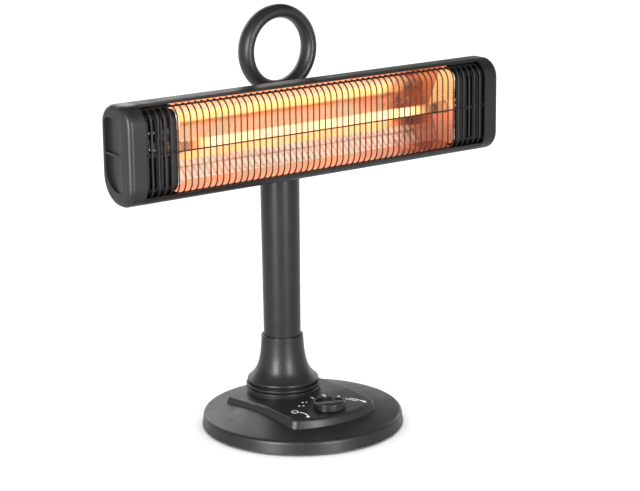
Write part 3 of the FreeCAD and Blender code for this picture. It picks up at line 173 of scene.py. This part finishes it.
def moulded(name, colour, rough, grain=1400.0, depth=0.00005, spread=0.16, spec=0.5):
    """spark-eroded moulded plastic: fine grain, slow shade drift and small rub marks"""
    t = Tree(name)
    slow = t.noise(7.0, 3.0)
    mid = t.noise(120.0, 4.0, 0.6)
    fine = t.noise(grain, 2.0, 0.5)
    shade = t.math("ADD", t.math("MULTIPLY", slow, 0.6), t.math("MULTIPLY", mid, 0.4))
    col = t.ramp(shade, (0.30, tone(colour, 1 - spread)), (0.70, tone(colour, 1 + spread)))
    rub = t.span(t.noise(34.0, 5.0, 0.7, (1.0, 1.0, 0.35)), 0.35, 0.72, rough - 0.05, rough + 0.07)
    n1 = t.bump(fine, 0.35, depth)
    n2 = t.bump(mid, 0.12, depth * 3, n1)
    t.set(Base_Color=col, Roughness=rub, Normal=n2)
    t.bsdf.inputs["Specular IOR Level"].default_value = spec
    return t.mat


def powder_coat(name, colour, rough, spec=0.5):
    """baked powder coat on sheet steel: low orange peel and faint speckle"""
    t = Tree(name)
    slow = t.noise(5.0, 3.0)
    peel = t.noise(420.0, 2.0, 0.45)
    speck = t.noise(1900.0, 1.0)
    col = t.ramp(t.math("ADD", t.math("MULTIPLY", slow, 0.7), t.math("MULTIPLY", speck, 0.3)),
                 (0.32, tone(colour, 0.86)), (0.68, tone(colour, 1.14)))
    rg = t.span(t.noise(60.0, 4.0, 0.65), 0.3, 0.7, rough - 0.05, rough + 0.06)
    n1 = t.bump(peel, 0.22, 0.00008)
    n2 = t.bump(speck, 0.15, 0.00002, n1)
    t.set(Base_Color=col, Roughness=rg, Normal=n2)
    t.bsdf.inputs["Specular IOR Level"].default_value = spec
    return t.mat


def plated(name, colour, rough, stretch=(4.0, 120.0, 120.0), spangle=0.0):
    """plated or drawn metal with fine drawing lines; spangle adds zinc flowers"""
    t = Tree(name)
    lines = t.noise(40.0, 4.0, 0.6, stretch)
    blot = t.noise(28.0, 4.0, 0.6)
    shade = t.math("ADD", t.math("MULTIPLY", lines, 0.45), t.math("MULTIPLY", blot, 0.55))
    if spangle:
        shade = t.math("ADD", t.math("MULTIPLY", shade, 1 - spangle), t.math("MULTIPLY", t.voronoi(130.0), spangle))
    col = t.ramp(shade, (0.28, tone(colour, 0.80)), (0.72, tone(colour, 1.10)))
    rg = t.span(blot, 0.3, 0.7, rough - 0.06, rough + 0.09)
    t.set(Base_Color=col, Roughness=rg, Normal=t.bump(lines, 0.18, 0.00003))
    t.bsdf.inputs["Metallic"].default_value = 1.0
    return t.mat


def guard_coat(name, glow_tint, cold, rough, reach):
    """baked enamel on drawn wire, black; over the lamp it is tinted brown as painted glow from the bright reflector
    behind it
    """
    t = Tree(name)
    soot = t.noise(90.0, 4.0, 0.65)
    peel = t.noise(1500.0, 2.0, 0.5)
    # painted glow: the wire turns brown where it crosses the lamp
    painted_glow_zone = t.span(t.math("ABSOLUTE", t.axis("X")), reach - 0.004, reach + 0.002, 1.0, 0.0)
    painted_glow_colour = t.ramp(soot, (0.3, tone(glow_tint, 0.75)), (0.7, tone(glow_tint, 1.25)))
    dark = t.ramp(soot, (0.3, tone(cold, 0.85)), (0.7, tone(cold, 1.15)))
    t.set(Base_Color=t.mix(painted_glow_zone, dark, painted_glow_colour), Roughness=t.span(soot, 0.3, 0.7, rough - 0.05, rough + 0.06), Normal=t.bump(peel, 0.2, 0.00003))
    t.bsdf.inputs["Specular IOR Level"].default_value = 0.15
    return t.mat


def rubber(name, colour, rough):
    t = Tree(name)
    dust = t.noise(160.0, 5.0, 0.7)
    pores = t.noise(1100.0, 3.0, 0.6)
    col = t.ramp(dust, (0.34, tone(colour, 0.8)), (0.74, tone(colour, 1.45)))
    t.set(Base_Color=col, Roughness=t.span(pores, 0.3, 0.7, rough - 0.08, rough + 0.08), Normal=t.bump(pores, 0.4, 0.00008))
    t.bsdf.inputs["Specular IOR Level"].default_value = 0.35
    return t.mat


def casting(name, colour):
    t = Tree(name)
    sand = t.noise(520.0, 5.0, 0.7)
    rust = t.noise(36.0, 5.0, 0.7)
    col = t.ramp(rust, (0.40, tone(colour, 0.75)), (0.62, tone(colour, 1.15)), (0.80, (0.16, 0.085, 0.05)))
    t.set(Base_Color=col, Roughness=t.span(sand, 0.3, 0.7, 0.62, 0.85), Normal=t.bump(sand, 0.6, 0.0003))
    t.bsdf.inputs["Metallic"].default_value = 0.6
    return t.mat


def ceramic(name, colour):
    t = Tree(name)
    pits = t.noise(900.0, 3.0, 0.6)
    scorch = t.noise(70.0, 4.0, 0.6)
    col = t.ramp(scorch, (0.35, tone(colour, 0.84)), (0.65, colour))
    t.set(Base_Color=col, Roughness=t.span(pits, 0.3, 0.7, 0.5, 0.68), Normal=t.bump(pits, 0.3, 0.00006))
    return t.mat


def mirror_sheet(name, colour, rough, lit=0.0, plate=0.0):
    """polished sheet with rolling lines along its length and a slight waviness; lit adds painted glow: emission bands
    set by height that stand in for the glowing tube mirrored in the sheet, with painted shade at the right end
    """
    t = Tree(name)
    lines = t.noise(26.0, 4.0, 0.6, (1.5, 60.0, 60.0))
    wave = t.noise(22.0, 2.0, 0.5, (1.0, 2.0, 2.0))
    haze = t.noise(60.0, 4.0, 0.6)
    col = t.ramp(haze, (0.30, tone(colour, 0.93)), (0.70, tone(colour, 1.04)))
    rg = t.span(lines, 0.3, 0.7, rough - 0.03, rough + 0.05)
    n1 = t.bump(lines, 0.10, 0.00002)
    n2 = t.bump(wave, 0.05, 0.0004, n1)
    t.set(Base_Color=col, Roughness=rg, Normal=n2)
    t.bsdf.inputs["Metallic"].default_value = 1.0
    if lit:
        # painted reflection: emission bands by height stand in for the glowing tube seen in the sheet
        rise = t.span(t.axis("Z"), 0.344, 0.450, 0.0, 1.0)
        painted_glow = t.ramp(rise, (0.0, (0.52, 0.27, 0.19)), (0.07, (0.55, 0.25, 0.17)), (0.085, (0.40, 0.11, 0.06)), (0.10, (0.52, 0.24, 0.16)), (0.34, (0.58, 0.27, 0.165)), (0.48, (0.86, 0.32, 0.145)),
                      (0.60, (0.78, 0.31, 0.17)), (0.66, (0.86, 0.21, 0.06)), (0.71, (1.0, 0.40, 0.15)), (0.80, (1.0, 0.60, 0.26)), (0.92, (0.92, 0.42, 0.20)),
                      (1.0, (0.60, 0.23, 0.13)))
        if plate:
            painted_glow = t.ramp(rise, (0.0, (0.30, 0.07, 0.03)), (0.42, (0.55, 0.13, 0.05)), (0.52, (1.0, 0.46, 0.16)), (0.90, (1.0, 0.60, 0.22)), (1.0, (0.9, 0.35, 0.12)))
        # the painted glow fades out at the right end, where the base colour turns darker red as painted shade; on the
        # end plates only the inner face carries painted glow
        ends = t.span(t.math("ADD", t.axis("X"), t.span(haze, 0.3, 0.7, -0.02, 0.02)), 0.126, 0.166, 1.0, 0.12)
        if plate:
            ends = t.span(t.math("ABSOLUTE", t.axis("X")), plate + 0.0002, plate + 0.0004, 1.0, 0.0)
        else:
            t.set(Base_Color=t.mix(ends, (0.44, 0.16, 0.09, 1.0), col))
        t.set(Emission_Color=painted_glow, Emission_Strength=t.math("MULTIPLY", ends, t.span(lines, 0.3, 0.7, lit * 0.82, lit * 1.18)))
    return t.mat


def hot_quartz(name):
    """clear quartz lit from inside: bright along the coil, cooler at the pinched ends"""
    t = Tree(name)
    run = t.math("ABSOLUTE", t.axis("X"))
    heat = t.span(run, 0.150, 0.190, 1.0, 0.0)
    flick = t.noise(90.0, 3.0, 0.6, (1.0, 0.3, 0.3))
    level = t.math("MULTIPLY", heat, t.span(flick, 0.3, 0.7, 0.86, 1.12))
    glow = t.ramp(level, (0.0, (0.75, 0.20, 0.05)), (0.55, (1.0, 0.42, 0.13)), (1.0, (1.0, 0.57, 0.25)))
    t.set(Base_Color=t.ramp(flick, (0.3, (0.16, 0.075, 0.03)), (0.7, (0.22, 0.11, 0.05))),
          Roughness=t.span(flick, 0.3, 0.7, 0.10, 0.18), Alpha=t.span(level, 0.0, 1.0, 0.35, 0.72))
    t.set(Emission_Color=glow, Emission_Strength=t.math("MULTIPLY", level, 2.15))
    t.bsdf.inputs["IOR"].default_value = 1.46
    return t.mat


def hot_coil(name):
    t = Tree(name)
    run = t.math("ABSOLUTE", t.axis("X"))
    heat = t.span(run, 0.160, 0.177, 1.0, 0.25)
    flick = t.noise(220.0, 3.0, 0.6)
    glow = t.ramp(heat, (0.0, (0.9, 0.16, 0.03)), (1.0, (1.0, 0.56, 0.22)))
    t.set(Base_Color=t.ramp(flick, (0.3, (0.32, 0.20, 0.14)), (0.7, (0.46, 0.30, 0.22))), Roughness=t.span(flick, 0.3, 0.7, 0.45, 0.65),
          Emission_Color=glow, Emission_Strength=t.math("MULTIPLY", heat, t.span(flick, 0.3, 0.7, 5.0, 7.5)))
    t.bsdf.inputs["Metallic"].default_value = 0.8
    return t.mat


def print_ink(name, colour):
    t = Tree(name)
    wear = t.noise(700.0, 4.0, 0.7)
    t.set(Base_Color=t.ramp(wear, (0.28, tone(colour, 0.72)), (0.5, colour)), Roughness=t.span(wear, 0.3, 0.7, 0.45, 0.6),
          Normal=t.bump(wear, 0.2, 0.00002))
    return t.mat


MATS = {
    "charcoal_plastic": moulded("charcoal_plastic", (0.0066, 0.0064, 0.0072), 0.39, spec=0.21),
    "painted_steel": powder_coat("painted_steel", (0.0064, 0.0062, 0.0071), 0.37, 0.20),
    "guard_wire": guard_coat("guard_wire", (0.015, 0.0070, 0.0048), (0.0050, 0.0047, 0.0050), 0.42, 0.2125),
    "galvanised_steel": plated("galvanised_steel", (0.55, 0.56, 0.58), 0.38, (1.0, 1.0, 1.0), 0.5),
    "cast_weight": casting("cast_weight", (0.10, 0.10, 0.10)),
    "foot_rubber": rubber("foot_rubber", (0.018, 0.018, 0.018), 0.78),
    "screw_steel": plated("screw_steel", (0.50, 0.50, 0.52), 0.30, (60.0, 60.0, 8.0)),
    "bearing_nylon": moulded("bearing_nylon", (0.78, 0.77, 0.72), 0.42, 900.0, 0.00003, 0.05),
    "switch_plastic": moulded("switch_plastic", (0.045, 0.045, 0.045), 0.40, 1100.0, 0.00003, 0.12),
    "spring_steel": plated("spring_steel", (0.6, 0.6, 0.62), 0.24, (90.0, 90.0, 90.0)),
    "motor_can": plated("motor_can", (0.62, 0.62, 0.64), 0.32, (90.0, 90.0, 3.0)),
    "lead_silicone": rubber("lead_silicone", (0.66, 0.62, 0.57), 0.55),
    # the reflector's pink-orange base colour is painted glow: it tints everything the sheet mirrors the colour of the
    # heater's light
    "polished_aluminium": mirror_sheet("polished_aluminium", (0.72, 0.43, 0.31), 0.085, 0.82),
    "quartz": hot_quartz("quartz"),
    "glowing_coil": hot_coil("glowing_coil"),
    # the dark orange of the end ceramics is painted shade and painted orange glow
    "end_ceramic": ceramic("end_ceramic", (0.40, 0.15, 0.055)),
}
# reflector end plates: painted glow, emission on their inner faces standing in for the tube's light falling on them
painted_glow_sheet = mirror_sheet("painted_glow_sheet", (0.90, 0.80, 0.74), 0.26, 0.8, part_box("right_reflector_end")[1].x - 0.0008)
knob_plastic = moulded("knob_plastic", (0.0042, 0.0041, 0.0044), 0.32, spec=0.28)
cap_plastic = moulded("cap_plastic", (0.0066, 0.0064, 0.0070), 0.42, spec=0.18)
# head housing: a copy of the powder coat with a reddish tint that is painted glow from the reflector
glow_tinted_shell_coat = powder_coat("glow_tinted_shell_coat", (0.0060, 0.0050, 0.0050), 0.46, 0.12)
ink = print_ink("dial_print", (0.55, 0.55, 0.55))

slot_of = {s["node"]: s["material_slot"] for s in frame["record"]["subparts"]}
for name, obj in nodes.items():
    m = MATS[slot_of[name]]
    if name in ("left_reflector_end", "right_reflector_end"):
        m = painted_glow_sheet
    if name == "head_housing":
        m = glow_tinted_shell_coat
    if name == "control_knob":
        m = knob_plastic
    if name in ("left_end_cap", "right_end_cap"):
        m = cap_plastic
    obj.data.materials.clear()
    obj.data.materials.append(m)


def piece(name, bm, material, body):
    bmesh.ops.recalc_face_normals(bm, faces=bm.faces)
    me = bpy.data.meshes.new(name)
    bm.to_mesh(me)
    bm.free()
    me.materials.append(material)
    ob = bpy.data.objects.new(name, me)
    scene.collection.objects.link(ob)
    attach(ob, body)
    return ob


# ---- heating coil: a close helix of resistance wire -------------------------------------

lo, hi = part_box("heating_filament")
axis_y, axis_z = (lo.y + hi.y) / 2, (lo.z + hi.z) / 2
wire = 0.00042
coil_r = (hi.z - lo.z) / 2 - wire
x0, x1 = lo.x + wire, hi.x - wire
turns, per, sides = 128, 14, 6
bm = bmesh.new()
rings = []
for i in range(turns * per + 1):
    t = i / (turns * per)
    th = 2 * math.pi * turns * t
    c = Vector((x0 + (x1 - x0) * t, axis_y + coil_r * math.cos(th), axis_z + coil_r * math.sin(th)))
    rad = Vector((0, math.cos(th), math.sin(th)))
    tang = Vector(((x1 - x0) / (turns * 2 * math.pi), -coil_r * math.sin(th), coil_r * math.cos(th))).normalized()
    side = tang.cross(rad)
    rings.append([bm.verts.new(c + (rad * math.cos(2 * math.pi * k / sides) + side * math.sin(2 * math.pi * k / sides)) * wire) for k in range(sides)])
for p, q in zip(rings, rings[1:]):
    for k in range(sides):
        bm.faces.new((p[k], p[(k + 1) % sides], q[(k + 1) % sides], q[k]))
bm.faces.new(rings[0])
bm.faces.new(rings[-1])
for f in bm.faces:
    f.smooth = True
coil = piece("heating_coil", bm, MATS["glowing_coil"], "head")
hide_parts("heating_filament")


# ---- dial legend printed on the deck -------------------------------------------------------

INK = 0.10


def deck_z(y):
    return 37.2 + 0.03 * y


def flat_print(name, loops):
    """thin raised print on the deck; loops are outlines in mm"""
    bm = bmesh.new()
    for pts in loops:
        low = [bm.verts.new((x / 1000, y / 1000, (deck_z(y) - 0.03) / 1000)) for x, y in pts]
        top = [bm.verts.new((x / 1000, y / 1000, (deck_z(y) + INK) / 1000)) for x, y in pts]
        caps = [bm.faces.new(list(reversed(low))), bm.faces.new(top)]
        for k in range(len(pts)):
            j = (k + 1) % len(pts)
            bm.faces.new((low[k], low[j], top[j], top[k]))
        bmesh.ops.triangulate(bm, faces=caps)
    return piece(name, bm, ink, "base")


def disc(x, y, rad, n=20):
    return [(x + rad * math.cos(2 * math.pi * k / n), y + rad * math.sin(2 * math.pi * k / n)) for k in range(n)]


def band(pts, w0, w1):
    """outline of a ribbon along pts, tapering from w0 to w1"""
    lft, rgt = [], []
    n = len(pts)
    for i, (x, y) in enumerate(pts):
        ax, ay = pts[max(0, i - 1)]
        bx, by = pts[min(n - 1, i + 1)]
        q = math.hypot(bx - ax, by - ay)
        nx, ny = -(by - ay) / q, (bx - ax) / q
        w = (w0 + (w1 - w0) * i / (n - 1)) / 2
        lft.append((x + nx * w, y + ny * w))
        rgt.append((x - nx * w, y - ny * w))
    return lft + rgt[::-1]


def arc(cx, cy, rad, a0, a1, n=18):
    return [(cx + rad * math.cos(math.radians(a0 + (a1 - a0) * k / n)), cy + rad * math.sin(math.radians(a0 + (a1 - a0) * k / n))) for k in range(n + 1)]


def head_of(at, direction, length, width):
    d = math.radians(direction)
    ux, uy = math.cos(d), math.sin(d)
    x, y = at
    return [(x + ux * length, y + uy * length), (x - uy * width / 2, y + ux * width / 2), (x + uy * width / 2, y - ux * width / 2)]


flat_print("dial_dots", [disc(-17.1, -23.9, 1.25), disc(-12.7, -26.1, 1.25), disc(-28.4, -32.0, 1.35), disc(-23.6, -34.5, 1.35)])
# left mark: a ring with a swing arrow; right mark: a row of heat waves ending in an arrow
left_arc = arc(-56.6, -59.2, 18.0, 28, -30)
flat_print("dial_arrow_left", [band(arc(-45.2, -46.0, 4.3, 0, 352, 32), 1.0, 1.0), band(left_arc, 1.2, 1.5),
                               head_of(left_arc[-1], -122, 5.4, 5.2)])
right_arc = arc(-6.7, -75.0, 56.5, 31, 10)
waves = [band([(-6.7 + 56.5 * math.cos(math.radians(g)) + 2.6 * math.sin(k * 1.05) * 0.6 + s, -75 + 56.5 * math.sin(math.radians(g)) + k * 0.9 - 2.4)
               for k in range(7)], 1.0, 1.0) for g, s in ((30, -4.6), (24, -4.9), (18, -5.2))]
flat_print("dial_arrow_right", [band(right_arc, 1.2, 1.7), head_of(right_arc[-1], -84, 6.0, 5.4)] + waves)

for k, (digit, x, y, turn) in enumerate((("1", 3.3, -17.5, -4.0), ("2", 20.0, -20.0, -26.0), ("3", 32.3, -33.5, -50.0))):
    cu = bpy.data.curves.new("numeral_%s" % digit, "FONT")
    cu.body = digit
    cu.size = 10.5
    cu.align_x, cu.align_y = "CENTER", "CENTER"
    cu.offset = 0.16
    cu.extrude = 0.05
    tmp = bpy.data.objects.new("numeral_tmp", cu)
    scene.collection.objects.link(tmp)
    bpy.context.view_layer.update()
    me = bpy.data.meshes.new_from_object(tmp.evaluated_get(bpy.context.evaluated_depsgraph_get()))
    bpy.data.objects.remove(tmp)
    c, s = math.cos(math.radians(turn)), math.sin(math.radians(turn))
    bm = bmesh.new()
    bm.from_mesh(me)
    bpy.data.meshes.remove(me)
    for v in bm.verts:
        px, py = x + c * v.co.x - s * v.co.y, y + s * v.co.x + c * v.co.y
        v.co = Vector((px, py, deck_z(py) + (INK if v.co.z > 0 else -0.03))) / 1000
    bmesh.ops.remove_doubles(bm, verts=bm.verts, dist=1e-7)
    piece("dial_numeral_%s" % digit, bm, ink, "base")


# ---- floor and light ----------------------------------------------------------------------

bm = bmesh.new()
bmesh.ops.create_grid(bm, x_segments=8, y_segments=8, size=30.0)
me = bpy.data.meshes.new("floor")
bm.to_mesh(me)
bm.free()
floor = bpy.data.objects.new("floor", me)
scene.collection.objects.link(floor)
ft = Tree("floor_paper")
ft.set(Base_Color=ft.ramp(ft.noise(3.0, 3.0), (0.3, (0.965, 0.965, 0.965)), (0.7, (0.98, 0.98, 0.98))), Roughness=0.9)
ft.bsdf.inputs["Specular IOR Level"].default_value = 0.0
me.materials.append(ft.mat)

world = bpy.data.worlds.new("studio")
scene.world = world
world.use_nodes = True
wn = world.node_tree
wn.nodes.clear()
wo = wn.nodes.new("ShaderNodeOutputWorld")
bg = wn.nodes.new("ShaderNodeBackground")
tc = wn.nodes.new("ShaderNodeTexCoord")
sx = wn.nodes.new("ShaderNodeSeparateXYZ")
cr = wn.nodes.new("ShaderNodeValToRGB")
wn.links.new(tc.outputs["Generated"], sx.inputs[0])
wn.links.new(sx.outputs["Z"], cr.inputs["Fac"])
cr.color_ramp.elements[0].position, cr.color_ramp.elements[0].color = 0.0, (1.0, 1.0, 1.0, 1)
cr.color_ramp.elements[1].position, cr.color_ramp.elements[1].color = 1.0, (0.30, 0.30, 0.30, 1)
for at, lv in ((0.22, 0.94), (0.34, 0.42), (0.46, 0.08), (0.62, 0.045), (0.82, 0.12)):
    cr.color_ramp.elements.new(at).color = (lv, lv, lv, 1)
wn.links.new(cr.outputs["Color"], bg.inputs["Color"])
bg.inputs["Strength"].default_value = 1.2
wn.links.new(bg.outputs["Background"], wo.inputs["Surface"])


# the softboxes are flagged off the paper, so that it stays evenly lit
paper = bpy.data.collections.new("paper")
paper.objects.link(floor)
paper.collection_objects[0].light_linking.link_state = "EXCLUDE"


def softbox(name, at, aim, w, h, watts):
    li = bpy.data.lights.new(name, "AREA")
    li.shape = "RECTANGLE"
    li.size, li.size_y = w, h
    li.energy = watts
    ob = bpy.data.objects.new(name, li)
    scene.collection.objects.link(ob)
    ob.location = at
    ob.rotation_mode = "QUATERNION"
    ob.rotation_quaternion = (Vector(aim) - Vector(at)).to_track_quat("-Z", "Y")
    ob.light_linking.receiver_collection = paper
    return ob


def round_at(az, dist, z):
    return (dist * math.sin(math.radians(az)), -dist * math.cos(math.radians(az)), z)


softbox("strip_left", round_at(-70, 1.6, 0.62), (0, 0, 0.35), 0.36, 1.2, 80.0)
softbox("strip_right", round_at(-4, 1.6, 0.62), (0, 0, 0.35), 0.32, 1.2, 56.0)
softbox("wash_front", round_at(38, 2.3, 1.75), (0, 0, 0.40), 1.5, 0.9, 5.6)

softbox("strip_back_left", round_at(108, 1.7, 0.70), (0, 0, 0.35), 0.60, 1.2, 5.0)
softbox("wash_back", round_at(165, 2.3, 1.3), (0, 0, 0.40), 1.6, 0.9, 16.0)
softbox("strip_back_right", round_at(180, 1.7, 0.70), (0, 0, 0.35), 0.60, 1.2, 5.0)

# one broad overhead light for the paper alone
top = bpy.data.lights.new("paper_light", "SUN")
top.energy = 3.3
top.angle = math.radians(150)
top_ob = bpy.data.objects.new("paper_light", top)
scene.collection.objects.link(top_ob)
lit_paper = bpy.data.collections.new("lit_paper")
lit_paper.objects.link(floor)
top_ob.light_linking.receiver_collection = lit_paper

scene.view_settings.view_transform = "Standard"
scene.view_settings.look = "None"
scene.view_settings.exposure = 0.0
scene.view_settings.gamma = 1.0

# faint glow around the hottest parts
scene.use_nodes = True
ct = scene.node_tree
ct.nodes.clear()
layers = ct.nodes.new("CompositorNodeRLayers")
glow = ct.nodes.new("CompositorNodeGlare")
glow.glare_type = "BLOOM"
glow.inputs["Threshold"].default_value = 1.6
glow.inputs["Strength"].default_value = 0.22
glow.inputs["Size"].default_value = 0.35
shown = ct.nodes.new("CompositorNodeComposite")
ct.links.new(layers.outputs["Image"], glow.inputs["Image"])
ct.links.new(glow.outputs["Image"], shown.inputs["Image"])
